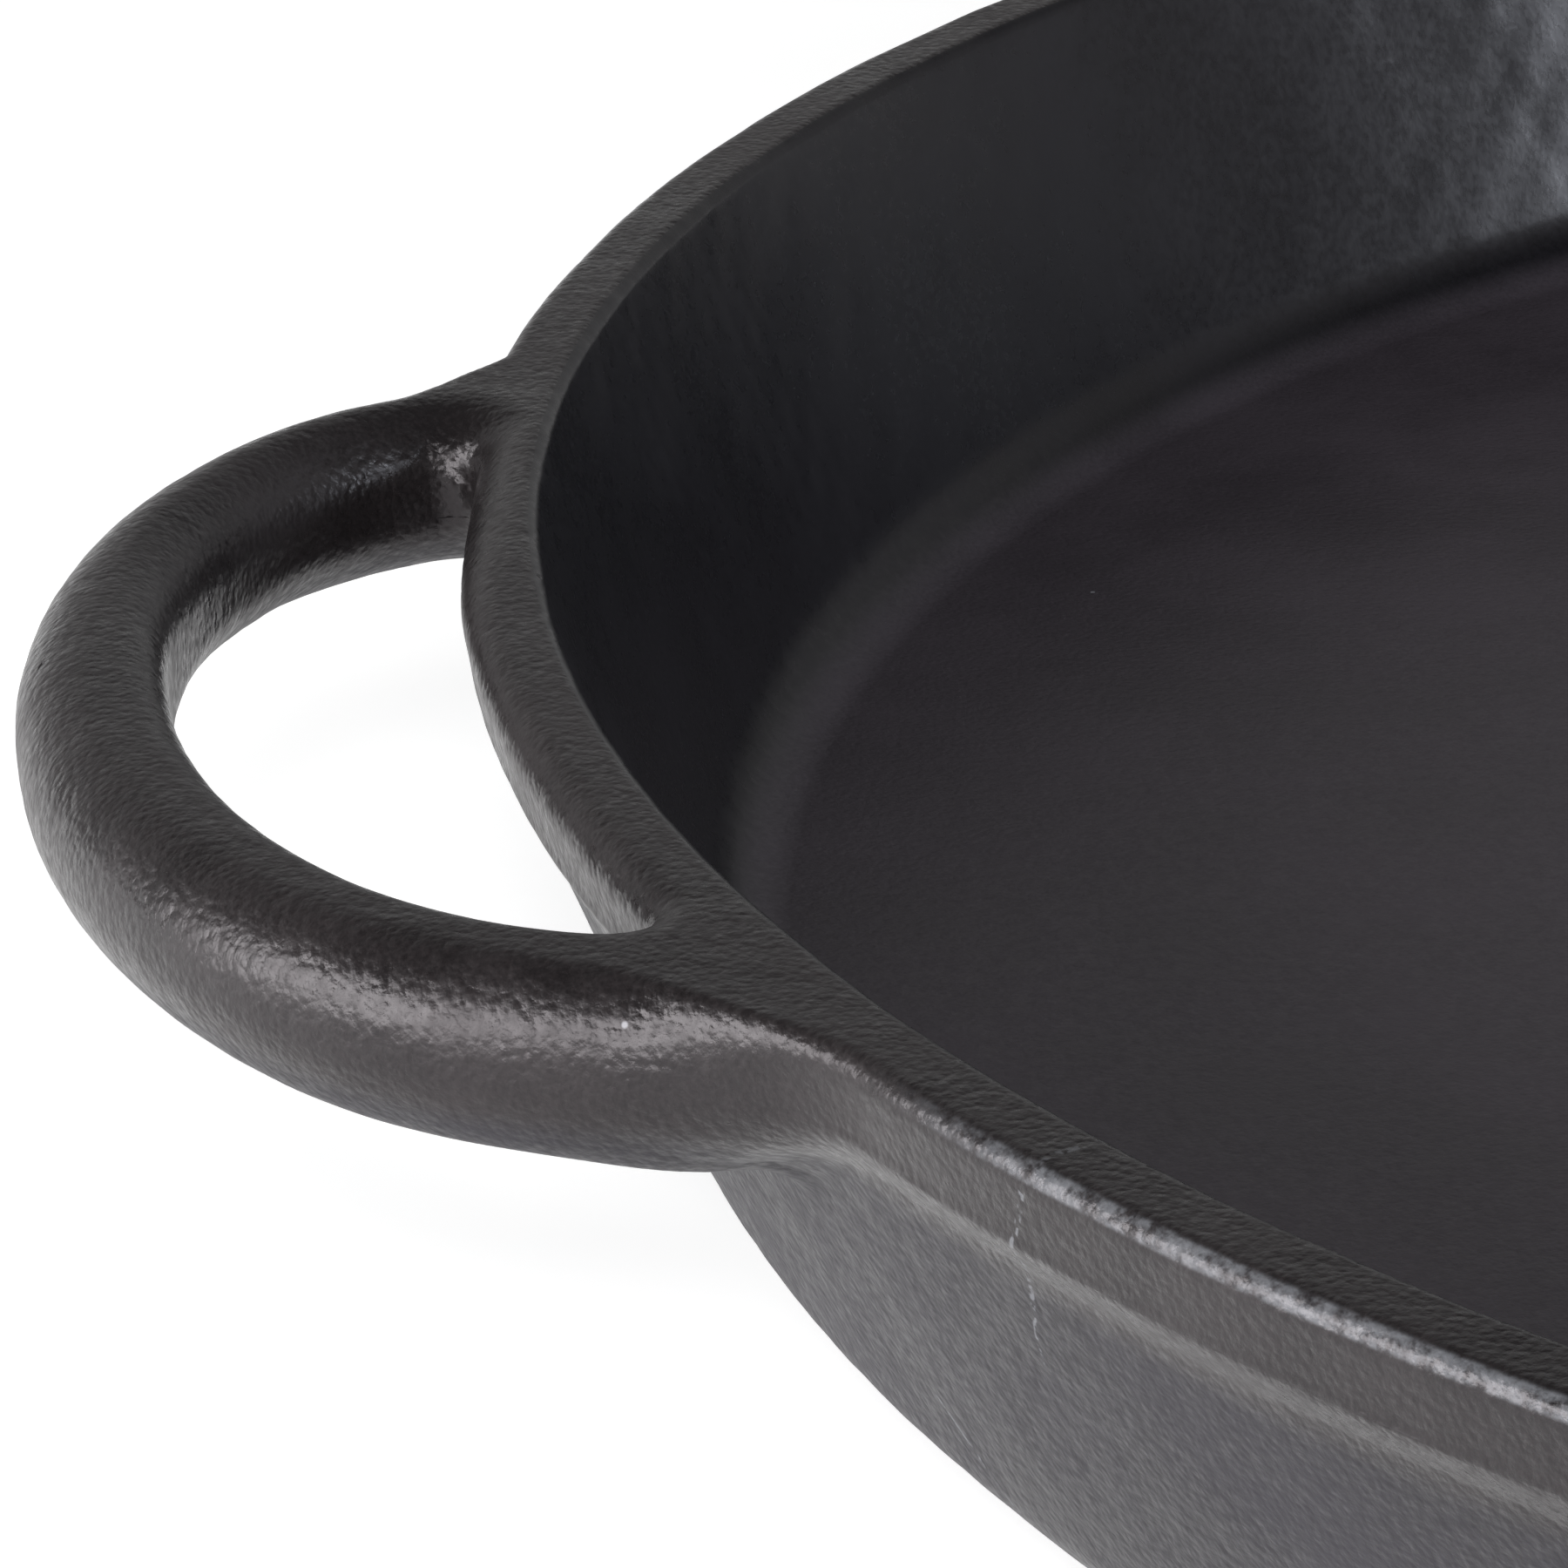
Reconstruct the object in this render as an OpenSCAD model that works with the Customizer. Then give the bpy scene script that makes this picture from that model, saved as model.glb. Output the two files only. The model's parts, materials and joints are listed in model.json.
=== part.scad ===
// Large cast iron skillet, poured as one casting: a wide shallow pan, a short loop handle
// and a long handle. Its regions are separate solids that meet face to face in the metal.
// Millimetres, +Z up. The origin is the centre of the underside, on the surface it rests on.
// The loop handle points along -X, the long handle along +X, the pour lips along +Y and -Y.

/* [Pan] */
// Outer diameter of the rim
rim_d = 393; // [340:1:420]
// Height of the rim above the resting face
pan_h = 39; // [38:1:50]
// Thickness of the cooking floor
floor_t = 5; // [4:0.5:7]
// Width of the rim's top face
rim_t = 6; // [5:0.5:7]
// Lean of the inner wall from vertical, in degrees
wall_lean = 19; // [15:1:22]
// Thickness of the side wall, measured level
wall_t = 5; // [4.5:0.1:6]
// Radius of the sweep between the cooking floor and the wall
sweep_r = 7; // [5:0.5:10]
// Radius of the outer corner at the underside
heel_r = 6; // [4:0.5:8]
// Height of the thicker band round the outside of the rim
band_h = 7.5; // [6:0.5:10]

/* [Loop handle] */
// Distance from the rim to the loop's far edge
loop_reach = 30; // [26:0.5:34]
// Width of the loop across its outer edges
loop_span = 114.5; // [110:0.5:118]
// Radius of the loop's two shoulders
shoulder_r = 26; // [25:1:28]
// Width of the loop's bar
loop_w = 10; // [9:0.5:11]
// Thickness of the loop's bar
loop_t = 13.5; // [11:0.5:15]
// Radius of the hollow where the loop's outer edge leaves the rim
loop_root_r = 9; // [6:1:12]
// Radius of the two corners of the finger gap
gap_corner_r = 4; // [3:0.5:4.5]

/* [Long handle] */
// Distance from the rim to the handle's far end
grip_l = 152; // [130:1:180]
// Width of the handle's neck
neck_w = 27; // [24:1:30]
// Width of the handle's far end
end_w = 36; // [32:1:40]
// Thickness of the handle
grip_t = 12; // [10:1:14]
// Rise of the grip above the rim
grip_rise = 6; // [0:1:10]
// Radius of the hollow where the handle leaves the rim
grip_root_r = 26; // [20:1:30]
// Diameter of the hanging hole
hang_d = 16; // [12:1:18]

/* [Pour lips] */
// Radius of a lip's channel at the rim
lip_r = 20; // [18:1:22]
// Distance of a lip's centre inside the rim's edge
lip_back = 14; // [12:1:15]
// Depth of a lip's channel below the rim
lip_depth = 20; // [18:1:22]
// Thickness of a lip's metal
lip_t = 4.5; // [4:0.5:5]

/* [Hidden] */
$fn = 96;
iron = "#2b2a2c";

rim_r = rim_d / 2;
rim_in = rim_r - rim_t;
lean = tan(wall_lean);
// Radius of the inner wall's line where it would meet the floor
foot_r = rim_in - (pan_h - floor_t) * lean;
// Level length of the sweep on the floor
sweep_run = sweep_r * tan((90 - wall_lean) / 2);
floor_r = foot_r - sweep_run;
band_z = pan_h - band_h;
band_lip = 0.7;
edge_r = 1.8;
band_draft = 1.3;
// Radius of the outer wall's line at a height z
function outer_r(z) = foot_r + wall_t + (z - floor_t) * lean + wall_extra * (z - floor_t) / band_z;
// The wall thickens towards the band, so that only a low step is left under it
wall_extra = rim_r - band_draft - band_lip - (foot_r + wall_t + (band_z - floor_t) * lean);
heel_lean = atan((outer_r(band_z) - outer_r(0)) / band_z);
heel_run = heel_r * tan((90 - heel_lean) / 2);

function arc(c, r, from, to, steps = 8) =
    [for (i = [0 : steps]) let (a = from + (to - from) * i / steps) c + r * [cos(a), sin(a)]];

// Outline of the outer side, from the underside's edge up to the rim, as [radius, height]
outer_side = concat(
    arc([outer_r(0) - heel_run, heel_r], heel_r, -90, -heel_lean),
    [[outer_r(band_z), band_z], [outer_r(band_z) + band_lip, band_z + band_lip]],
    arc([rim_r - edge_r, pan_h - edge_r], edge_r, 0, 90));

// Outline of the inner side, from the rim down to the cooking floor's edge
inner_edge_r = 0.8;
inner_side = concat(
    arc([rim_in + inner_edge_r, pan_h - inner_edge_r], inner_edge_r, 90, 180, 4),
    arc([floor_r, floor_t + sweep_r], sweep_r, -wall_lean, -90));

module pan_blank() {
    rotate_extrude($fn = 180) polygon(concat([[0, 0]], outer_side, [[0, pan_h]]));
}

module shell_of_pan() {
    rotate_extrude($fn = 180) polygon(concat([[floor_r, 0]], outer_side, inner_side));
}

// A round slice between two heights that reaches past the rim
module slice(low, high) {
    translate([0, 0, low]) cylinder(h = high - low, r = rim_r + 5, $fn = 180);
}

// An upright cone that narrows to the inner wall's face, on the side given by its sign
module lip_cone(side, r, depth) {
    over = 4;
    spread = r / (depth + over);
    translate([0, side * (rim_r - lip_back), pan_h - depth])
        cylinder(h = depth + over, r1 = r - depth * spread, r2 = r + over * spread);
}

module lip_channels() {
    for (side = [-1, 1]) lip_cone(side, lip_r, lip_depth);
}

module cooking_floor() {
    color(iron) cylinder(h = floor_t, r = floor_r, $fn = 180);
}

module side_wall() {
    color(iron) difference() {
        intersection() {
            shell_of_pan();
            slice(0, band_z);
        }
        lip_channels();
    }
}

module rim_band() {
    color(iron) difference() {
        intersection() {
            shell_of_pan();
            slice(band_z, pan_h);
        }
        lip_channels();
    }
}

// The point at distance r1 from the pan's centre and r2 from the point c, outwards along the rim
function nestle(r1, c, r2) =
    let (d = norm(c), x = (r1 * r1 - r2 * r2 + d * d) / (2 * d), h = sqrt(r1 * r1 - x * x))
    (x * c + h * [c[1], -c[0]]) / d;
// Angle of the direction from one point to another
function heading(a, b) = atan2(b[1] - a[1], b[0] - a[0]);
function flip(p) = [p[0], -p[1]];
// Depth to which the handles' outlines run on into the pan, where the pan's solid ends them
bury = 12;
function into_pan(p) = p * (1 - bury / norm(p));

// The loop's oval has two shoulders, centred just inside the rim, and a flatter far end
shoulder_inset = 7;
shoulder_c = [shoulder_inset - rim_r, loop_span / 2 - shoulder_r];
end_run = loop_reach + shoulder_inset;
end_r = (pow(end_run, 2) + pow(shoulder_c[1], 2) - pow(shoulder_r, 2))
    / (2 * (end_run - shoulder_r));
end_c = [end_r - rim_r - loop_reach, 0];
end_turn = heading(end_c, shoulder_c);

// The oval's arcs, moved inwards, from one direction round the first shoulder to its mirror
function oval(inset, turn) = concat(
    arc(shoulder_c, shoulder_r - inset, turn, end_turn, 10),
    arc(end_c, end_r - inset, end_turn, 360 - end_turn, 36),
    arc(flip(shoulder_c), shoulder_r - inset, 360 - end_turn, 360 - turn, 10));

module loop_outline() {
    root = nestle(rim_r + loop_root_r, shoulder_c, shoulder_r + loop_root_r);
    at_rim = heading(root, [0, 0]);
    at_loop = heading(root, shoulder_c);
    start = root * rim_r / norm(root);
    polygon(concat([into_pan(start)], arc(root, loop_root_r, at_rim, at_loop, 8),
        oval(0, heading(shoulder_c, root)),
        arc(flip(root), loop_root_r, -at_loop, -at_rim, 8), [into_pan(flip(start))]));
}

module finger_gap() {
    corner = nestle(rim_r + gap_corner_r, shoulder_c, shoulder_r - loop_w - gap_corner_r);
    at_rim = heading(corner, [0, 0]);
    turn = heading(shoulder_c, corner);
    start = corner * rim_r / norm(corner);
    polygon(concat([into_pan(start)], arc(corner, gap_corner_r, at_rim, turn, 10),
        oval(loop_w, turn),
        arc(flip(corner), gap_corner_r, 360 - turn, 360 - at_rim, 10), [into_pan(flip(start))]));
}

module loop_handle() {
    color(iron) difference() {
        translate([0, 0, pan_h - loop_t]) linear_extrude(loop_t) difference() {
            loop_outline();
            finger_gap();
        }
        pan_blank();
    }
}

grip_end = rim_r + grip_l;
hang_x = grip_end - end_w / 2;

module grip_outline() {
    root = [sqrt(pow(rim_r + grip_root_r, 2) - pow(neck_w / 2 + grip_root_r, 2)),
            neck_w / 2 + grip_root_r];
    start = root * rim_r / norm(root);
    at_rim = heading(root, [0, 0]);
    widen = asin((end_w - neck_w) / 2 / (hang_x - root[0]));
    polygon(concat([into_pan(flip(start))], arc(flip(root), grip_root_r, -at_rim, 90, 12),
        arc([hang_x, 0], end_w / 2, -90 + widen, 90 - widen, 32),
        arc(root, grip_root_r, 270, at_rim + 360, 12), [into_pan(start)]));
}

// Side view of the long handle: it climbs from the rim and runs level round the hanging hole
module grip_profile() {
    root_x = rim_r - 20;
    level_x = hang_x - end_w;
    top = pan_h + grip_rise;
    polygon([[root_x, pan_h], [rim_r + 8, pan_h], [level_x, top], [grip_end + 5, top],
             [grip_end + 5, top - grip_t], [level_x, top - grip_t],
             [rim_r + 8, pan_h - grip_t - 1], [root_x, pan_h - grip_t - 3]]);
}

module long_handle() {
    color(iron) difference() {
        intersection() {
            linear_extrude(pan_h + grip_rise + 5) grip_outline();
            translate([0, end_w * 2, 0]) rotate([90, 0, 0])
                linear_extrude(end_w * 4) grip_profile();
        }
        pan_blank();
        translate([hang_x, 0, 0]) cylinder(h = pan_h * 2, d = hang_d);
    }
}

module pour_lip(side) {
    color(iron) difference() {
        intersection() {
            lip_cone(side, lip_r + lip_t, lip_depth + lip_t);
            slice_wide();
        }
        lip_cone(side, lip_r, lip_depth);
        pan_blank();
    }
}

// Everything from the underside up to the rim's top face, wider than the pan
module slice_wide() {
    cylinder(h = pan_h, r = rim_r + lip_r * 2, $fn = 180);
}

module pour_lip_left() { pour_lip(1); }
module pour_lip_right() { pour_lip(-1); }

cooking_floor();
side_wall();
rim_band();
loop_handle();
long_handle();
pour_lip_left();
pour_lip_right();
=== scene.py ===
"""The look of a large cast iron skillet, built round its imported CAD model.

The skillet is one casting, so its skin is described once, as a solid whose edges and hollows are
rounded as a casting's are. Each CAD node then gets the part of that solid that lies in its region,
as a closed mesh. Neighbours meet exactly and share their surface normals, so no seam shows.
Lengths are in metres. +X runs along the long handle, -X towards the loop handle.
"""

import json
import math

import bpy
import numpy as np
from mathutils import Matrix, Vector


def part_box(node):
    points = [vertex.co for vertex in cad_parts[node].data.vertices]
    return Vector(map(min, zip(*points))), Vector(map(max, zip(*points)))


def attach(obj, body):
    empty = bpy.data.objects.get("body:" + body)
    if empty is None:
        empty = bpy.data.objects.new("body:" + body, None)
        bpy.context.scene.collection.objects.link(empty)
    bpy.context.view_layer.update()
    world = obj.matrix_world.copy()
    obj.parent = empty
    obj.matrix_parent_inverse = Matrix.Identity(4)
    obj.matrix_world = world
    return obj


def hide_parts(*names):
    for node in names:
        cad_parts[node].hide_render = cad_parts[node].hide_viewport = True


MM = 0.001
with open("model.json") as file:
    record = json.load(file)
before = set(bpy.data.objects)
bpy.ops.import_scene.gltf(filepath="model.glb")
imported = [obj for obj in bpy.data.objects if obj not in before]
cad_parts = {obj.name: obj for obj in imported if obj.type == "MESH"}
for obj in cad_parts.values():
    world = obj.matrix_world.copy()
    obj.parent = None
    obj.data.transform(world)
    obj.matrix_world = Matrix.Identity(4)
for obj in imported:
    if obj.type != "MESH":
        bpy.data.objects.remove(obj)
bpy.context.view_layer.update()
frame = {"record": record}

# ---------------------------------------------------------------- sizes taken from the frame
floor_low, floor_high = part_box("cooking_floor")
_, wall_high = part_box("side_wall")
band_low, band_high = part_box("rim_band")
loop_low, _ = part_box("loop_handle")
grip_low, grip_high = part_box("long_handle")
lip_low, lip_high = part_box("pour_lip_left")
hang = next(m for m in frame["record"]["mounts"] if m["name"] == "hang_hole")

FLOOR_R = floor_high.x
FLOOR_TOP = floor_high.z
RIM_R = band_high.x
RIM_TOP = band_high.z
BAND_Z = band_low.z
WALL_R = wall_high.x
LIP_OUT = abs(lip_high.y) - RIM_R
LIP_FOOT = lip_low.z
LOOP_END = loop_low.x
LOOP_UNDER = loop_low.z
GRIP_TOP = grip_high.z
GRIP_END = grip_high.x
HANG_X = hang["pos_m"][0]
HANG_R = hang["dims"]["r_mm"] * MM
GRIP_THICK = hang["dims"]["length_mm"] * MM

# Sizes of the casting that no box gives
RIM_WIDE = 6 * MM
INNER_LEAN = math.radians(19)
OUTER_LEAN = math.radians(21.5)
BAND_DRAFT = 1.3 * MM
LOOP_REACH = 36.8 * MM
LOOP_HALF = 57.2 * MM
LOOP_WIDE = 10.2 * MM
LOOP_X = LOOP_END + LOOP_REACH
LOOP_BELLY = 2.4 * MM
NECK_HALF = 13.5 * MM
THUMB_DEPTH = 1.5 * MM
LIP_HALF = 30 * MM
# Where the handles' pieces are cut from the rim's and the wall's
ROOT_R = RIM_R + 2.5 * MM

# Radii of the casting's edges and of the hollows where one part flows into the next
LOOP_ROOT_NEAR = 14 * MM
LOOP_ROOT_FAR = 4.5 * MM
GRIP_ROOT = 24 * MM
GAP_CORNER = 4 * MM
HEEL = 6 * MM
SWEEP = 4.7 * MM
INNER_EDGE = 0.9 * MM
HOLE_EDGE = 1.4 * MM


# ---------------------------------------------------------------- the casting as one solid
def round_max(a, b, r):
    """Where two solids overlap, with the edge between them rounded to the radius r."""
    return np.minimum(np.maximum(a, b), -r) + np.hypot(np.maximum(a + r, 0), np.maximum(b + r, 0))


def round_min(a, b, r):
    """Two solids joined, with the hollow between them filled to the radius r."""
    return -round_max(-a, -b, r)


def ease(low, high, v):
    """A smooth step from 0 at low to 1 at high."""
    t = np.clip((v - low) / (high - low), 0, 1)
    return t * t * (3 - 2 * t)


def swells(count, shortest, longest, seed):
    """Random plane waves for a casting's unevenness: directions scaled to wavelength, and phases."""
    rng = np.random.default_rng(seed)
    way = rng.normal(size=(count, 3))
    way /= np.linalg.norm(way, axis=1, keepdims=True)
    length = np.geomspace(shortest, longest, count)
    return way * (2 * math.pi / length)[:, None], rng.uniform(0, 2 * math.pi, count), length / longest


SWELLS = swells(14, 3.2 * MM, 30 * MM, seed=5)


def unevenness(x, y, z):
    """How far a real casting's skin stands off its pattern, none of it on the cooking floor."""
    total = 0.0
    for way, phase, size in zip(*SWELLS):
        total = total + np.sqrt(size) * np.sin(way[0] * x + way[1] * y + way[2] * z + phase)
    r = np.hypot(x, y)
    return 0.018 * MM * total * ease(FLOOR_R + 1 * MM, FLOOR_R + 9 * MM, r)


def grip_plan(x, y):
    """Level distance outside the long handle's outline."""
    end_r = GRIP_END - HANG_X
    neck_x = RIM_R + 28 * MM
    half = NECK_HALF + (end_r - NECK_HALF) * np.clip((x - neck_x) / (HANG_X - neck_x), 0, 1)
    tip = np.hypot(x - HANG_X, y) - end_r
    return np.where(x > HANG_X, tip, np.where(x > RIM_R * 0.7, np.abs(y) - half, 1.0))


def loop_plan(x, y):
    """Level distance outside the loop handle's oval outline."""
    along, across = (x - LOOP_X) / LOOP_REACH, y / LOOP_HALF
    k = np.hypot(along, across) + 1e-9
    return k * (k - 1) / (np.hypot(along / LOOP_REACH, across / LOOP_HALF) + 1e-9)


def lip_swell(x, y, z):
    """How far the pour lips push the rim and the upper wall outwards."""
    along = (np.abs(np.arctan2(y, x)) - math.pi / 2) * RIM_R
    return np.exp(-((along / (13 * MM)) ** 2)) * ease(LIP_FOOT - 4 * MM, RIM_TOP, z)


def inner_wall(r, z):
    """Distance outside the sloping inside of the pan."""
    inner = RIM_R - RIM_WIDE - (RIM_TOP - z) * math.tan(INNER_LEAN)
    return (r - inner) * math.cos(INNER_LEAN)


def casting(x, y, z):
    """Distance outside the casting's skin, negative in the metal."""
    lip = lip_swell(x, y, z)
    r = np.hypot(x, y) - LIP_OUT * lip

    loop_side = x < -0.5 * RIM_R
    side = r - RIM_R + BAND_DRAFT * np.clip((RIM_TOP - z) / (RIM_TOP - BAND_Z), 0, 1)
    oval = loop_plan(x, y)
    loop = np.where(loop_side, oval, 1.0)
    ring = np.where(loop_side, np.maximum(oval, -oval - LOOP_WIDE), 1.0)
    grip = grip_plan(x, y)
    at_loop = ease(6 * MM, -3 * MM, np.where(oval > 0, 0.5 * oval, ring))
    at_grip = ease(9 * MM, -9 * MM, grip)
    loop_outside = at_loop * ease(-11 * MM, -3 * MM, oval)
    past_rim = ease(0, np.where(loop_side, 6, 12) * MM, r - RIM_R)
    far = ease(5 * MM, 32 * MM, y)

    # Rim band and handles: one outline from above, with level tops that flow into each other
    root = np.where(y > 0, LOOP_ROOT_FAR, LOOP_ROOT_NEAR)
    plan = round_min(round_min(side, loop, root), grip, GRIP_ROOT)
    climb = ease(RIM_R + 6 * MM, HANG_X - 36 * MM, x)
    thumb = ease(RIM_R + 18 * MM, RIM_R + 45 * MM, x) * ease(HANG_X - 14 * MM, HANG_X - 40 * MM, x)
    top = RIM_TOP + (GRIP_TOP - RIM_TOP) * climb - 0.8 * MM * lip
    top = top - THUMB_DEPTH * thumb * np.exp(-((y / (7 * MM)) ** 2))
    edge = (1.8 + past_rim * np.where(loop_side, 3.9, 3.2)) * MM
    plate = round_max(plan, z - top, edge)
    gap = round_max(oval + LOOP_WIDE, -side, GAP_CORNER)
    plate = np.where(loop_side, round_max(plate, -gap, (3 + 2.5 * far) * MM), plate)

    # Their undersides: the loop's sags outwards, and the grip's climbs with its top
    grip_under = RIM_TOP - GRIP_THICK - 1.5 * MM + (GRIP_TOP - RIM_TOP + 1.5 * MM) * climb
    under = BAND_Z + at_loop * (LOOP_UNDER + LOOP_BELLY - BAND_Z)
    under = under - LOOP_BELLY * loop_outside + at_grip * (grip_under - BAND_Z)
    under_edge = (2.0 + 5.0 * loop_outside + 1.2 * at_loop * far + 2.3 * at_grip) * MM
    plate = round_max(plate, under - z, under_edge)

    # The wall under the band, with its rounded heel
    outer = WALL_R - (BAND_Z - z) * math.tan(OUTER_LEAN)
    wall = round_max((r - outer) * math.cos(OUTER_LEAN), -z, HEEL)
    wall = np.maximum(wall, z - BAND_Z - 1 * MM)
    body = round_min(plate, wall, (1.2 + 2.3 * at_loop + 4.8 * at_grip) * MM)

    # The inside of the pan, swept into the cooking floor
    inside = round_max(FLOOR_TOP - z, inner_wall(r, z), SWEEP)
    body = round_max(body, -inside, INNER_EDGE)
    body = round_max(body, HANG_R - np.hypot(x - HANG_X, y), HOLE_EDGE)
    return body + unevenness(x, y, z)


def slope(x, y, z):
    """Gradient of the casting's distance."""
    h = 2e-5
    return np.stack([
        casting(x + h, y, z) - casting(x - h, y, z),
        casting(x, y + h, z) - casting(x, y - h, z),
        casting(x, y, z + h) - casting(x, y, z - h),
    ], -1) / (2 * h)


# ---------------------------------------------------------------- cuts that part the casting
# A cut is a distance, negative on the side that is kept, and that distance's gradient.
def above(height):
    return (lambda x, y, z: height - z), (lambda co: np.tile((0.0, 0.0, -1.0), (len(co), 1)))


def below(height):
    return (lambda x, y, z: z - height), (lambda co: np.tile((0.0, 0.0, 1.0), (len(co), 1)))


def outwards(co):
    level = co * (1, 1, 0)
    return level / np.linalg.norm(level, axis=1, keepdims=True)


def beyond(radius):
    return (lambda x, y, z: radius - np.hypot(x, y)), (lambda co: -outwards(co))


def within(radius):
    """Inside a radius, at the handles only, so the pour lips are kept."""
    return (
        lambda x, y, z: np.where(np.abs(x) > 0.5 * RIM_R, np.hypot(x, y) - radius, -1.0),
        outwards,
    )


def clear_of_lips(half):
    return (lambda x, y, z: half - np.abs(x)), (lambda co: -np.sign(co[:, :1]) * (1, 0, 0))


def at_lips(half):
    return (lambda x, y, z: np.abs(x) - half), (lambda co: np.sign(co[:, :1]) * (1, 0, 0))


# ---------------------------------------------------------------- meshing a region of the casting
def crossings(values, fields, axis, wrap):
    """Grid edges along an axis that pass through the surface: the lower node, how far along the
    edge, which field the surface belongs to there, and whether the lower node is inside."""
    ahead = np.roll(values, -1, axis)
    crossed = (values < 0) != (ahead < 0)
    if not (wrap and axis == 0):
        last = [slice(None)] * 3
        last[axis] = -1
        crossed[tuple(last)] = False
    low = np.argwhere(crossed)
    high = low.copy()
    high[:, axis] = (high[:, axis] + 1) % values.shape[axis]
    a, b = tuple(low.T), tuple(high.T)
    t = values[a] / (values[a] - values[b])
    at = np.stack([f[a] + t * (f[b] - f[a]) for f in fields])
    return low, t, at.argmax(0), values[a] < 0


def surface_net(angles, radii, heights, cuts, wrap):
    """Vertices and quads of the surface round the part of the casting that the cuts keep, on a
    grid of angles, radii and heights: one vertex in each cell that the surface passes through."""
    a, r, z = np.meshgrid(angles, radii, heights, indexing="ij")
    x, y = r * np.cos(a), r * np.sin(a)
    fields = [casting(x, y, z)] + [value(x, y, z) for value, _ in cuts]
    values = np.maximum.reduce(fields)
    cells = np.array(values.shape) - (0 if wrap else 1, 1, 1)
    ids, places, owners, quads, quad_owners = [], [], [], [], []
    for axis in range(3):
        b, c = (axis + 1) % 3, (axis + 2) % 3
        low, t, owner, inside = crossings(values, fields, axis, wrap)
        corners, whole = [], np.ones(len(low), bool)
        for ob, oc in ((0, 0), (1, 0), (1, 1), (0, 1)):
            cell = low.copy()
            cell[:, b] -= ob
            cell[:, c] -= oc
            if wrap:
                cell[:, 0] %= cells[0]
            ok = ((cell >= 0) & (cell < cells)).all(1)
            whole &= ok
            flat = np.ravel_multi_index(np.clip(cell, 0, cells - 1).T, cells)
            place = np.zeros((len(low), 3))
            place[:, axis], place[:, b], place[:, c] = t, ob, oc
            ids.append(flat[ok])
            places.append(place[ok])
            owners.append(owner[ok])
            corners.append(flat)
        quad = np.stack(corners, 1)
        quad[inside] = quad[inside][:, ::-1]
        quads.append(quad[whole])
        quad_owners.append(owner[whole])
    ids, places, owners = np.concatenate(ids), np.concatenate(places), np.concatenate(owners)
    active, index = np.unique(ids, return_inverse=True)
    count = np.bincount(index)
    local = np.stack([np.bincount(index, places[:, k]) / count for k in range(3)], 1)
    on = np.stack([np.bincount(index, owners == k) > 0 for k in range(len(fields))], 1)
    corner = np.array(np.unravel_index(active, cells)).T
    axes = (np.append(angles, angles[0] + 2 * math.pi) if wrap else angles, radii, heights)
    a, r, z = (
        g[corner[:, k]] + local[:, k] * (g[corner[:, k] + 1] - g[corner[:, k]])
        for k, g in enumerate(axes)
    )
    co = np.stack([r * np.cos(a), r * np.sin(a), z], 1)
    return co, on, np.searchsorted(active, np.concatenate(quads)), np.concatenate(quad_owners)


def settle(co, on, cuts, rounds=5, reach=0.6 * MM):
    """Moves each vertex onto the skin and the cuts that it belongs to, so edges come out sharp."""
    for _ in range(rounds):
        jac = np.stack([slope(*co.T)] + [gradient(co) for _, gradient in cuts], 1) * on[:, :, None]
        miss = np.stack([casting(*co.T)] + [value(*co.T) for value, _ in cuts], 1) * on
        square = jac @ jac.transpose(0, 2, 1)
        square += np.eye(on.shape[1]) * np.where(on, 1e-4, 1.0)[:, None, :]
        push = np.linalg.solve(square, miss[:, :, None])[:, :, 0]
        step = np.einsum("nij,ni->nj", jac, push)
        length = np.linalg.norm(step, axis=1, keepdims=True)
        co = co - step * np.minimum(1, reach / np.maximum(length, 1e-12))
    return co


def new_piece(name, co, faces, normals):
    """A closed mesh, shaded with the normal given for each corner of each face."""
    mesh = bpy.data.meshes.new(name)
    mesh.from_pydata(co.tolist(), [], faces)
    mesh.polygons.foreach_set("use_smooth", np.ones(len(mesh.polygons), bool))
    mesh.normals_split_custom_set(normals.tolist())
    piece = bpy.data.objects.new(name, mesh)
    bpy.context.scene.collection.objects.link(piece)
    return piece


def region(name, angles, radii, heights, cuts, wrap=False):
    """The part of the casting that the cuts keep. Its skin is shaded with the casting's own
    normals. The hidden faces where it meets its neighbours are flat."""
    co, on, quads, owner = surface_net(angles, radii, heights, cuts, wrap)
    co = settle(co, on, cuts)
    skin = slope(*co.T)
    skin /= np.maximum(np.linalg.norm(skin, axis=1, keepdims=True), 1e-9)
    normals = skin[quads]
    for k, (_, gradient) in enumerate(cuts):
        normals[owner == k + 1] = gradient(co)[quads[owner == k + 1]]
    return new_piece(name, co, quads.tolist(), normals.reshape(-1, 3))


def spread(*stops):
    """Grid places from (start, step) pairs. Each stretch runs to the next start in even steps."""
    out = []
    for (start, step), (end, _) in zip(stops, stops[1:]):
        count = max(1, round((end - start) / step))
        out.append(np.linspace(start, end, count, endpoint=False))
    return np.append(np.concatenate(out), stops[-1][0])


def turn_steps():
    """Directions round the whole pan, close together at the handles and the pour lips."""
    half = np.radians(spread((0, 0.3), (14, 0.8), (80, 0.4), (100, 0.8), (148, 0.25), (180, 0)))
    return np.concatenate([half, 2 * math.pi - half[-2:0:-1]])


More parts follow.
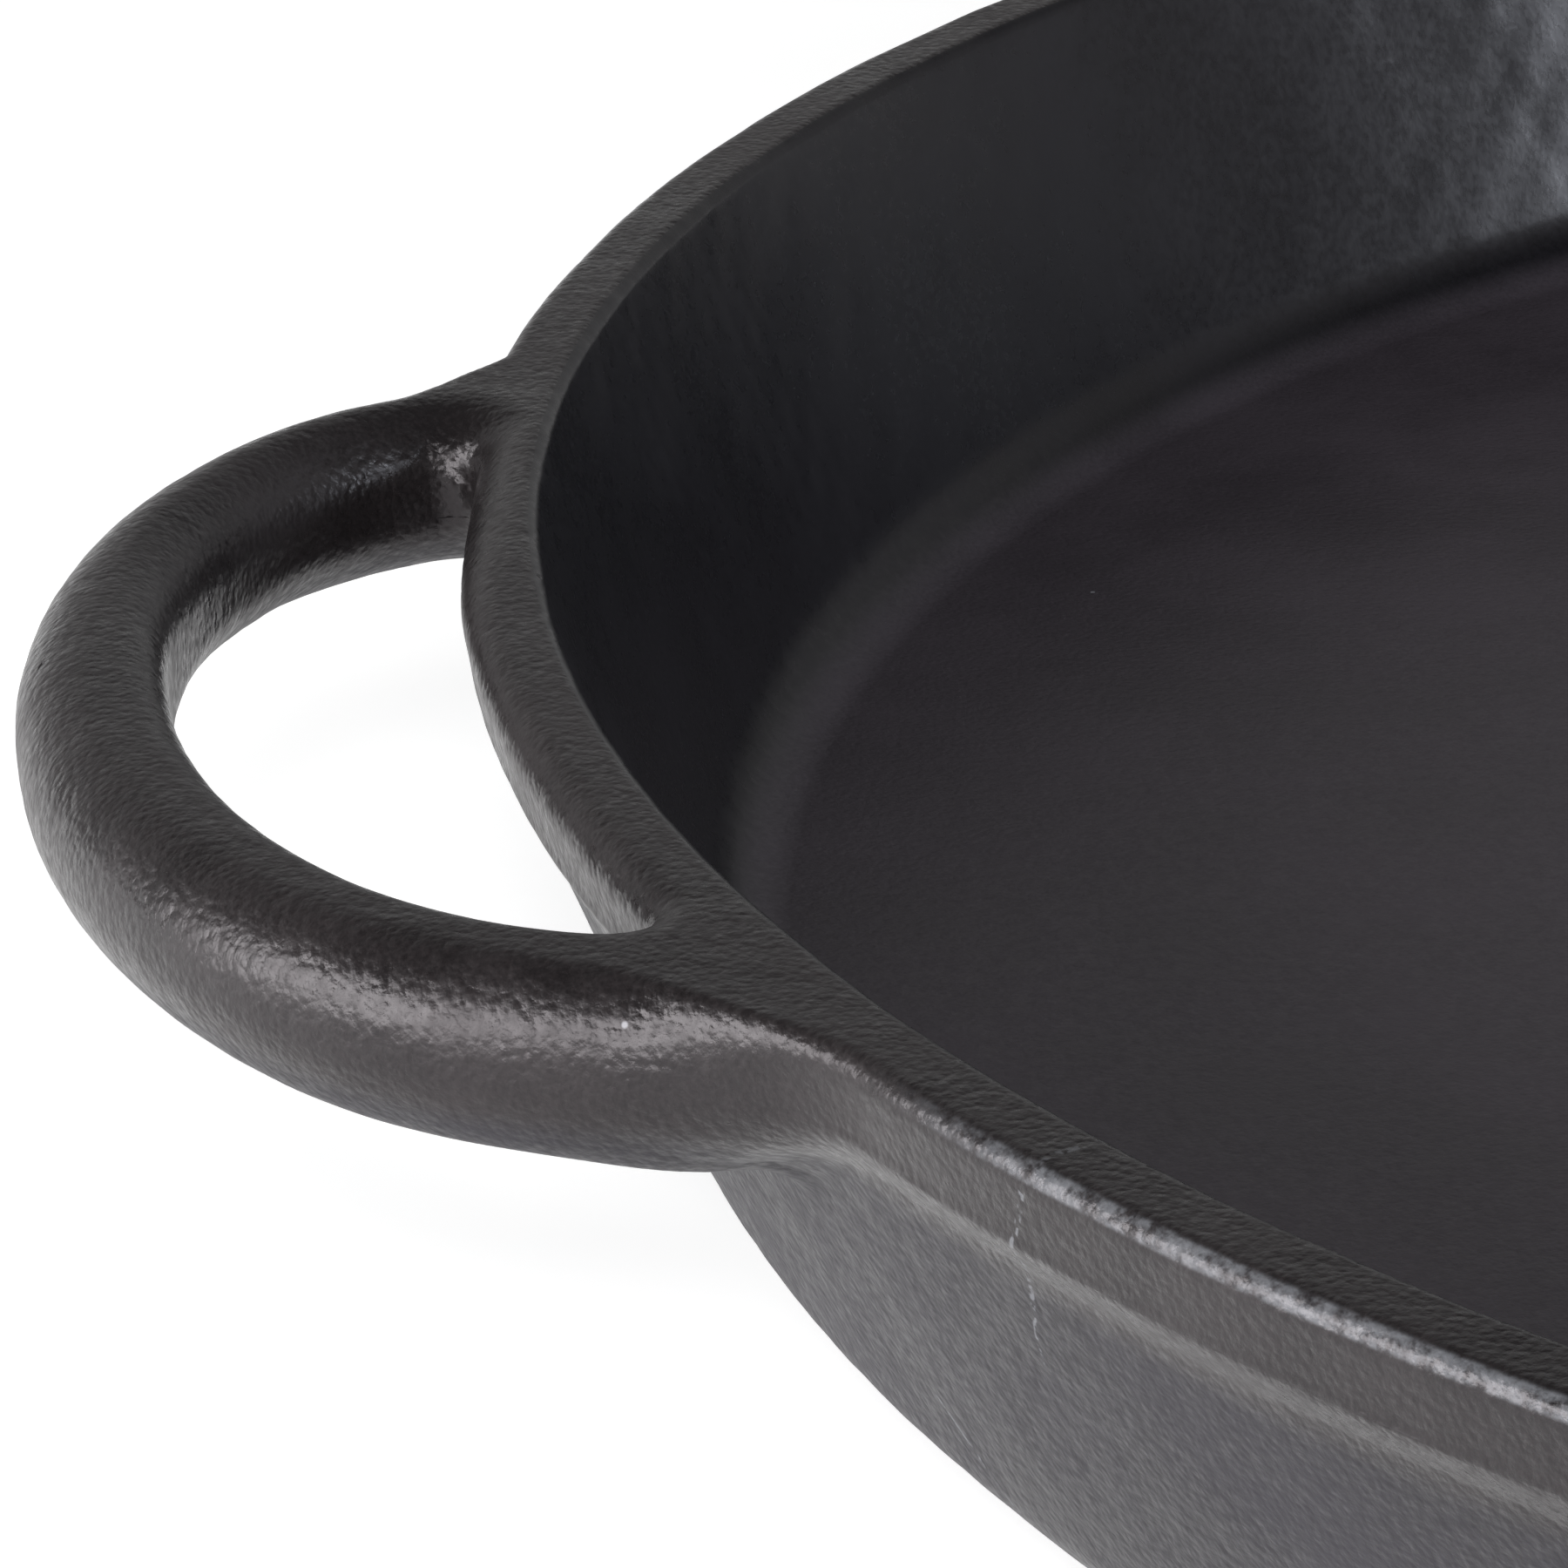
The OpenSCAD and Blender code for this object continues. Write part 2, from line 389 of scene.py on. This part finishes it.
# ---------------------------------------------------------------- the pieces
def build_cooking_floor():
    """The flat disc in the middle: rings of faces on both sides, with a flat edge between them."""
    turns = turn_steps()
    turns = (turns + np.append(turns[1:], 2 * math.pi)) / 2
    count = len(turns)
    edge = np.stack([np.cos(turns), np.sin(turns)], 1)
    rings = FLOOR_R * np.linspace(1, 0, 40)[:-1]
    side = np.concatenate([edge * r for r in rings] + [[[0, 0]]])
    top = np.column_stack([side, np.full(len(side), FLOOR_TOP)])
    co = np.concatenate([top, top * (1, 1, 0)])
    ahead = np.roll(np.arange(count), -1)
    here = np.arange(count)
    quads = [
        np.stack([k * count + here, k * count + ahead, (k + 1) * count + ahead,
                  (k + 1) * count + here], 1)
        for k in range(len(rings) - 1)
    ]
    last = (len(rings) - 1) * count
    fan = np.stack([last + here, last + ahead, np.full(count, len(side) - 1)], 1)
    quads = np.concatenate(quads)
    skirt = np.stack([here, len(side) + here, len(side) + ahead, ahead], 1)
    faces = quads.tolist() + fan.tolist()
    faces += (quads[:, ::-1] + len(side)).tolist() + (fan[:, ::-1] + len(side)).tolist()
    flat_corners = 4 * len(quads) + 3 * count
    normals = np.concatenate([
        np.tile((0.0, 0.0, 1.0), (flat_corners, 1)),
        np.tile((0.0, 0.0, -1.0), (flat_corners, 1)),
        np.column_stack([edge[np.stack([here, here, ahead, ahead], 1).ravel()], np.zeros(4 * count)]),
    ])
    return new_piece("cooking_floor_skin", co, faces + skirt.tolist(), normals)


def build_side_wall():
    radii = spread((FLOOR_R - 2.3 * MM, 1.1 * MM), (RIM_R + LIP_OUT, 0))
    heights = spread(
        (-1.3 * MM, 0.7 * MM), (9 * MM, 1.4 * MM), (24 * MM, 0.6 * MM), (BAND_Z + 1.3 * MM, 0))
    cuts = [beyond(FLOOR_R), below(BAND_Z), within(ROOT_R)]
    return region("side_wall_skin", turn_steps(), radii, heights, cuts, wrap=True)


def band_grid():
    radii = spread((RIM_R - 12 * MM, 0.42 * MM), (RIM_R + 1.4 * MM, 0.5 * MM),
                   (RIM_R + LIP_OUT + 1.5 * MM, 0))
    heights = spread((BAND_Z - 1.1 * MM, 0.42 * MM), (RIM_TOP + 1 * MM, 0))
    return radii, heights


def build_rim_band():
    cuts = [above(BAND_Z), within(ROOT_R), clear_of_lips(LIP_HALF)]
    return region("rim_band_skin", turn_steps(), *band_grid(), cuts, wrap=True)


def build_pour_lip(name, middle):
    half = math.degrees(LIP_HALF / RIM_R) + 1
    angles = np.radians(spread((middle - half, 0.3), (middle + half, 0)))
    return region(name, angles, *band_grid(), [above(BAND_Z), at_lips(LIP_HALF)])


def build_loop_handle():
    angles = np.radians(spread((180 - 33, 0.15), (180 + 33, 0)))
    radii = spread((ROOT_R - 1 * MM, 0.52 * MM), (-LOOP_END + 1.5 * MM, 0))
    heights = spread((LOOP_UNDER - 5 * MM, 0.5 * MM), (RIM_TOP + 1.2 * MM, 0))
    return region("loop_handle_skin", angles, radii, heights, [beyond(ROOT_R)])


def build_long_handle():
    angles = np.radians(spread((-14, 0.16), (14, 0)))
    radii = spread((ROOT_R - 1.2 * MM, 0.8 * MM), (GRIP_END + 2 * MM, 0))
    heights = spread((grip_low.z - 3 * MM, 0.7 * MM), (GRIP_TOP + 1.4 * MM, 0))
    return region("long_handle_skin", angles, radii, heights, [beyond(ROOT_R)])


# ---------------------------------------------------------------- materials
def node(tree, kind, inputs=(), **settings):
    """Adds a shader node, sets its properties, and sets or links its inputs."""
    made = tree.nodes.new(kind)
    for name, value in settings.items():
        setattr(made, name, value)
    for name, value in dict(inputs).items():
        if isinstance(value, bpy.types.NodeSocket):
            tree.links.new(value, made.inputs[name])
        else:
            made.inputs[name].default_value = value
    return made


def maths(tree, operation, *values):
    made = tree.nodes.new("ShaderNodeMath")
    made.operation = operation
    for k, value in enumerate(values):
        if isinstance(value, bpy.types.NodeSocket):
            tree.links.new(value, made.inputs[k])
        else:
            made.inputs[k].default_value = value
    return made.outputs[0]


def noise(tree, at, per_metre, detail=2.0, rough=0.5):
    made = node(tree, "ShaderNodeTexNoise",
                {"Vector": at, "Scale": per_metre, "Detail": detail, "Roughness": rough})
    return made.outputs["Fac"]


def band(tree, value, low, high, bottom=0.0, top=1.0):
    """A smooth step of a value from bottom, at low, to top, at high."""
    made = node(tree, "ShaderNodeMapRange", interpolation_type="SMOOTHSTEP")
    tree.links.new(value, made.inputs["Value"])
    for name, number in zip(("From Min", "From Max", "To Min", "To Max"), (low, high, bottom, top)):
        made.inputs[name].default_value = number
    return made.outputs["Result"]


def blend(tree, share, first, second):
    made = node(tree, "ShaderNodeMix", data_type="RGBA")
    for socket, value in zip((0, 6, 7), (share, first, second)):
        if isinstance(value, bpy.types.NodeSocket):
            tree.links.new(value, made.inputs[socket])
        else:
            made.inputs[socket].default_value = value
    return made.outputs[2]


def specks(tree, at, per_metre, size, share):
    """Small round spots in a random share of the cells of a loose pattern."""
    cells = node(tree, "ShaderNodeTexVoronoi", {"Vector": at, "Scale": per_metre})
    spot = band(tree, cells.outputs["Distance"], size, size * 0.5)
    pick = node(tree, "ShaderNodeSeparateColor", {"Color": cells.outputs["Color"]})
    return maths(tree, "MULTIPLY", spot, maths(tree, "LESS_THAN", pick.outputs[0], share))


def seam_glints(tree, at, turn, drift, low, high):
    """Painted highlight: broken bright flecks of lighter colour along a casting seam in the pan's
    side, where light glints on the seam. The seam drifts by so many degrees per millimetre up
    from its lower end."""
    x, y, z = node(tree, "ShaderNodeSeparateXYZ", {"Vector": at}).outputs
    angle = maths(tree, "SUBTRACT", maths(tree, "ARCTAN2", y, x), math.radians(turn))
    lean = math.radians(-drift) / MM
    angle = maths(tree, "ADD", angle, maths(tree, "MULTIPLY_ADD", z, lean, -low * lean))
    wander = maths(tree, "SUBTRACT", noise(tree, at, 260), 0.5)
    off = maths(tree, "ABSOLUTE", maths(tree, "MULTIPLY_ADD", wander, 0.006, angle))
    line = band(tree, off, 0.0017, 0.0007)
    line = maths(tree, "MULTIPLY", line, band(tree, z, low - 2 * MM, low + 1 * MM))
    line = maths(tree, "MULTIPLY", line, band(tree, z, high + 1 * MM, high - 1 * MM))
    return maths(tree, "MULTIPLY", line, band(tree, noise(tree, at, 1500, 1.0), 0.5, 0.62))


def rim_wear_and_highlight(tree, at):
    """The rim's outer edge past the loop handle: seasoning rubbed thin in patches, mixed with a
    painted highlight.
    """
    x, y, _ = node(tree, "ShaderNodeSeparateXYZ", {"Vector": at}).outputs
    square = maths(tree, "MULTIPLY_ADD", x, x, maths(tree, "MULTIPLY", y, y))
    off = maths(tree, "ABSOLUTE", maths(tree, "SUBTRACT", maths(tree, "SQRT", square), RIM_R))
    facing = node(tree, "ShaderNodeSeparateXYZ",
                  {"Vector": tree.nodes.new("ShaderNodeNewGeometry").outputs["Normal"]}).outputs[2]
    edge = maths(tree, "MULTIPLY", band(tree, off, 1.9 * MM, 0.9 * MM),
                 maths(tree, "MULTIPLY", band(tree, facing, 0.1, 0.3), band(tree, facing, 0.97, 0.85)))
    # Kept off the loop's root so the painted highlight starts where the rim's highlight line does.
    edge = maths(tree, "MULTIPLY", edge, band(tree, x, -0.93 * RIM_R, -0.89 * RIM_R))
    return maths(tree, "MULTIPLY", edge, band(tree, noise(tree, at, 900, 3.0, 0.65), 0.3, 0.66))


def iron(name, dark, light, pebble, grain, rough_low, rough_high, marks=(), bottom=None):
    """Seasoned cast iron: pebbles left by the sand, fine grain, baked oil that pools between them,
    pits and pale specks. The pebble and grain are heights in metres. The marks are shares of the
    surface painted lighter: painted highlights, and on the rim's edge also seasoning rubbed thin.
    bottom is how the lowest part differs: the height where it ends, its two colours, how much
    rougher it is and how many times deeper its grain is."""
    material = bpy.data.materials.new(name)
    material.use_nodes = True
    tree = material.node_tree
    shader = tree.nodes["Principled BSDF"]
    at = tree.nodes.new("ShaderNodeTexCoord").outputs["Object"]

    lumps = noise(tree, at, 1100, 2.0, 0.5)
    cells = node(tree, "ShaderNodeTexVoronoi",
                 {"Vector": at, "Scale": 1500, "Smoothness": 0.5}, feature="SMOOTH_F1")
    fine = noise(tree, at, 3000, 3.0, 0.55)
    sand = noise(tree, at, 5200, 2.0, 0.6)
    patches = noise(tree, at, 55, 4.0, 0.6)
    pits = specks(tree, at, 62, 0.045, 0.3)
    pale = specks(tree, at, 190, 0.055, 0.06)

    height = maths(tree, "MULTIPLY", lumps, pebble * 1.2)
    height = maths(tree, "MULTIPLY_ADD", cells.outputs["Distance"], -pebble, height)
    height = maths(tree, "MULTIPLY_ADD", fine, grain, height)
    height = maths(tree, "MULTIPLY_ADD", sand, grain * 0.4, height)
    height = maths(tree, "MULTIPLY_ADD", pits, -0.00025, height)
    if bottom:
        height_up = node(tree, "ShaderNodeSeparateXYZ", {"Vector": at}).outputs[2]
        low = band(tree, height_up, bottom["ends"] + 1 * MM, bottom["ends"] - 1.5 * MM)
        deeper = maths(tree, "MULTIPLY_ADD", low, bottom["grain"] - 1, 1.0)
        height = maths(tree, "MULTIPLY", height, deeper)
    bump = node(tree, "ShaderNodeBump", {"Height": height, "Strength": 1.0, "Distance": 1.0})
    tree.links.new(bump.outputs["Normal"], shader.inputs["Normal"])

    tone = maths(tree, "MULTIPLY_ADD", fine, 0.45, maths(tree, "MULTIPLY", patches, 0.55))
    shade = band(tree, tone, 0.36, 0.64)
    colour = blend(tree, shade, (*dark, 1), (*light, 1))
    if bottom:
        low_colour = blend(tree, shade, (*bottom["dark"], 1), (*bottom["light"], 1))
        colour = blend(tree, low, colour, low_colour)
    colour = blend(tree, maths(tree, "MULTIPLY", pale, 0.7), colour, (0.26, 0.26, 0.28, 1))
    colour = blend(tree, maths(tree, "MULTIPLY", pits, 0.8), colour, (0.003, 0.003, 0.003, 1))
    # Each mark paints a lighter colour: painted highlights on the seams, and on the rim's edge a
    # painted highlight mixed with rubbed-thin seasoning.
    for mark in marks:
        shine = mark(tree, at)
        colour = blend(tree, maths(tree, "MULTIPLY", shine, 0.55), colour, (0.16, 0.165, 0.18, 1))
    tree.links.new(colour, shader.inputs["Base Color"])

    oil = maths(tree, "MULTIPLY_ADD", lumps, 0.5, maths(tree, "MULTIPLY", patches, 0.5))
    rough = band(tree, oil, 0.38, 0.62, rough_low, rough_high)
    if bottom:
        rough = maths(tree, "MULTIPLY_ADD", low, bottom["rougher"], rough)
    tree.links.new(rough, shader.inputs["Roughness"])
    shader.inputs["IOR"].default_value = 1.43
    shader.inputs["Specular Tint"].default_value = (1, 0.94, 0.975, 1)
    return material


def plain(name, colour, rough, glow):
    material = bpy.data.materials.new(name)
    material.use_nodes = True
    shader = material.node_tree.nodes["Principled BSDF"]
    shader.inputs["Base Color"].default_value = (*colour, 1)
    shader.inputs["Roughness"].default_value = rough
    shader.inputs["Specular IOR Level"].default_value = 0.2
    shader.inputs["Emission Color"].default_value = (1, 1, 1, 1)
    shader.inputs["Emission Strength"].default_value = glow
    return material


def finish_piece(piece, slot, *nodes):
    """Gives a piece the pebbled outside finish, and the finer one where it faces the food. The
    finer one's colours are painted shade on the inside wall and painted light on the cooking floor.
    """
    mesh = piece.data
    mesh.materials.append(OUTSIDE)
    mesh.materials.append(INSIDE)
    centre = np.empty(len(mesh.polygons) * 3)
    mesh.polygons.foreach_get("center", centre)
    x, y, z = centre.reshape(-1, 3).T
    r = np.hypot(x, y) - LIP_OUT * lip_swell(x, y, z)
    food = (z > FLOOR_TOP - 1 * MM) & (inner_wall(r, z) < 0.5 * MM)
    mesh.polygons.foreach_set("material_index", food.astype(np.int32))
    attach(piece, "root")
    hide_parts(*nodes)


# Painted highlights: glints on the two seams in the side, painted as lighter colour.
def upper_seam_glints(tree, at):
    return seam_glints(tree, at, turn=-156.0, drift=0.12, low=22 * MM, high=RIM_TOP)


def lower_seam_glints(tree, at):
    return seam_glints(tree, at, turn=-160.2, drift=-0.27, low=5 * MM, high=13 * MM)


OUTSIDE = iron(
    "seasoned_iron_pebbled", (0.0075, 0.0063, 0.0066), (0.017, 0.0142, 0.0147),
    pebble=7.0e-5, grain=3.6e-5, rough_low=0.26, rough_high=0.41,
    marks=(rim_wear_and_highlight, upper_seam_glints, lower_seam_glints),
    bottom={"ends": BAND_Z - 2 * MM, "dark": (0.005, 0.0046, 0.0064),
            "light": (0.012, 0.011, 0.0155), "rougher": 0.14, "grain": 1.0})
# The inside's near-black colours are painted shade on the inside wall, and its much lighter bottom
# colours are painted light on the cooking floor. The smooth finish is the pan's own.
INSIDE = iron(
    "seasoned_iron_smooth_painted_light_and_shade", (0.0015, 0.0014, 0.0022), (0.0035, 0.0032, 0.0046),
    pebble=5e-6, grain=5e-6, rough_low=0.26, rough_high=0.34,
    bottom={"ends": FLOOR_TOP + 1 * MM, "dark": (0.031, 0.0255, 0.0305),
            "light": (0.047, 0.0388, 0.0463), "rougher": 0.12, "grain": 5.0})

finish_piece(build_cooking_floor(), "cooking_iron", "cooking_floor")
finish_piece(build_side_wall(), "seasoned_iron", "side_wall")
finish_piece(build_rim_band(), "seasoned_iron", "rim_band")
finish_piece(build_pour_lip("pour_lip_left_skin", 90), "seasoned_iron", "pour_lip_left")
finish_piece(build_pour_lip("pour_lip_right_skin", -90), "seasoned_iron", "pour_lip_right")
finish_piece(build_loop_handle(), "seasoned_iron", "loop_handle")
finish_piece(build_long_handle(), "seasoned_iron", "long_handle")


# ---------------------------------------------------------------- stage, camera and lights
def add_stage():
    """A large sheet of white paper just under the pan, lit a little from below."""
    mesh = bpy.data.meshes.new("studio_floor")
    half = 6.0
    height = floor_low.z - 0.1 * MM
    corners = [(-half, -half), (half, -half), (half, half), (-half, half)]
    mesh.from_pydata([(x, y, height) for x, y in corners], [], [(0, 1, 2, 3)])
    mesh.materials.append(plain("studio_paper", (0.8, 0.8, 0.8), 0.9, glow=0.44))
    floor = bpy.data.objects.new("studio_floor", mesh)
    bpy.context.scene.collection.objects.link(floor)


# The photo's view: its angles, then its distance and aim in shares of the rim's radius, and its lens
VIEW_TURN = math.radians(-8.68)
VIEW_RISE = math.radians(22.09)
VIEW_ROLL = math.radians(-1.95)
VIEW_FAR = 2.2844
VIEW_AIM = (-0.9241, -0.1432)
VIEW_LENS = 164.0


def add_camera():
    """Looks from the front at the near end of the loop handle's root."""
    back = Vector((math.sin(VIEW_TURN) * math.cos(VIEW_RISE),
                   -math.cos(VIEW_TURN) * math.cos(VIEW_RISE),
                   math.sin(VIEW_RISE)))
    unit = RIM_R - 1.5 * MM
    aim = Vector((VIEW_AIM[0] * unit, VIEW_AIM[1] * unit, RIM_TOP))
    right = Vector((math.cos(VIEW_TURN), math.sin(VIEW_TURN), 0))
    up = back.cross(right)
    turned = Matrix((right, up, back)).transposed().to_4x4() @ Matrix.Rotation(VIEW_ROLL, 4, "Z")
    data = bpy.data.cameras.new("photo_view")
    data.lens = VIEW_LENS
    data.sensor_width = 36
    data.clip_start = 0.01
    camera = bpy.data.objects.new("photo_view", data)
    camera.matrix_world = Matrix.Translation(aim + back * VIEW_FAR * unit) @ turned
    bpy.context.scene.collection.objects.link(camera)
    bpy.context.scene.camera = camera


def add_softbox(name, place, target, width, height, power, colour=(1, 1, 1)):
    data = bpy.data.lights.new(name, "AREA")
    data.shape = "RECTANGLE"
    data.size = width
    data.size_y = height
    data.energy = power
    data.color = colour
    light = bpy.data.objects.new(name, data)
    light.location = place
    light.rotation_euler = (Vector(place) - Vector(target)).to_track_quat("Z", "Y").to_euler()
    bpy.context.scene.collection.objects.link(light)


def add_world():
    """A pale room: brightest round the horizon, dimmer higher up, where the softboxes hang."""
    world = bpy.data.worlds.new("studio")
    bpy.context.scene.world = world
    world.use_nodes = True
    tree = world.node_tree
    way = tree.nodes.new("ShaderNodeTexCoord").outputs["Generated"]
    up = node(tree, "ShaderNodeSeparateXYZ", {"Vector": way}).outputs["Z"]
    walls = band(tree, up, 0.02, 0.12, 0.65, 0.34)
    glow = maths(tree, "MULTIPLY", walls, band(tree, up, 0.45, 0.75, 1, 0.2))
    tree.links.new(glow, tree.nodes["Background"].inputs["Strength"])
    tree.nodes["Background"].inputs["Color"].default_value = (1, 1, 1, 1)


add_stage()
add_camera()
add_world()
add_softbox("left_softbox", (-1.27, -0.42, 0.42), (-0.2, -0.03, 0.03), 2.0, 0.62, 34)
add_softbox("front_softbox", (-0.36, -1.15, 0.92), (-0.2, -0.05, 0.03), 0.5, 0.35, 7)
add_softbox("right_window", (1.05, -0.9, 0.36), (0, 0.05, 0.03), 0.6, 0.4, 20, (0.84, 0.93, 1.0))

bpy.context.scene.view_settings.view_transform = "Standard"
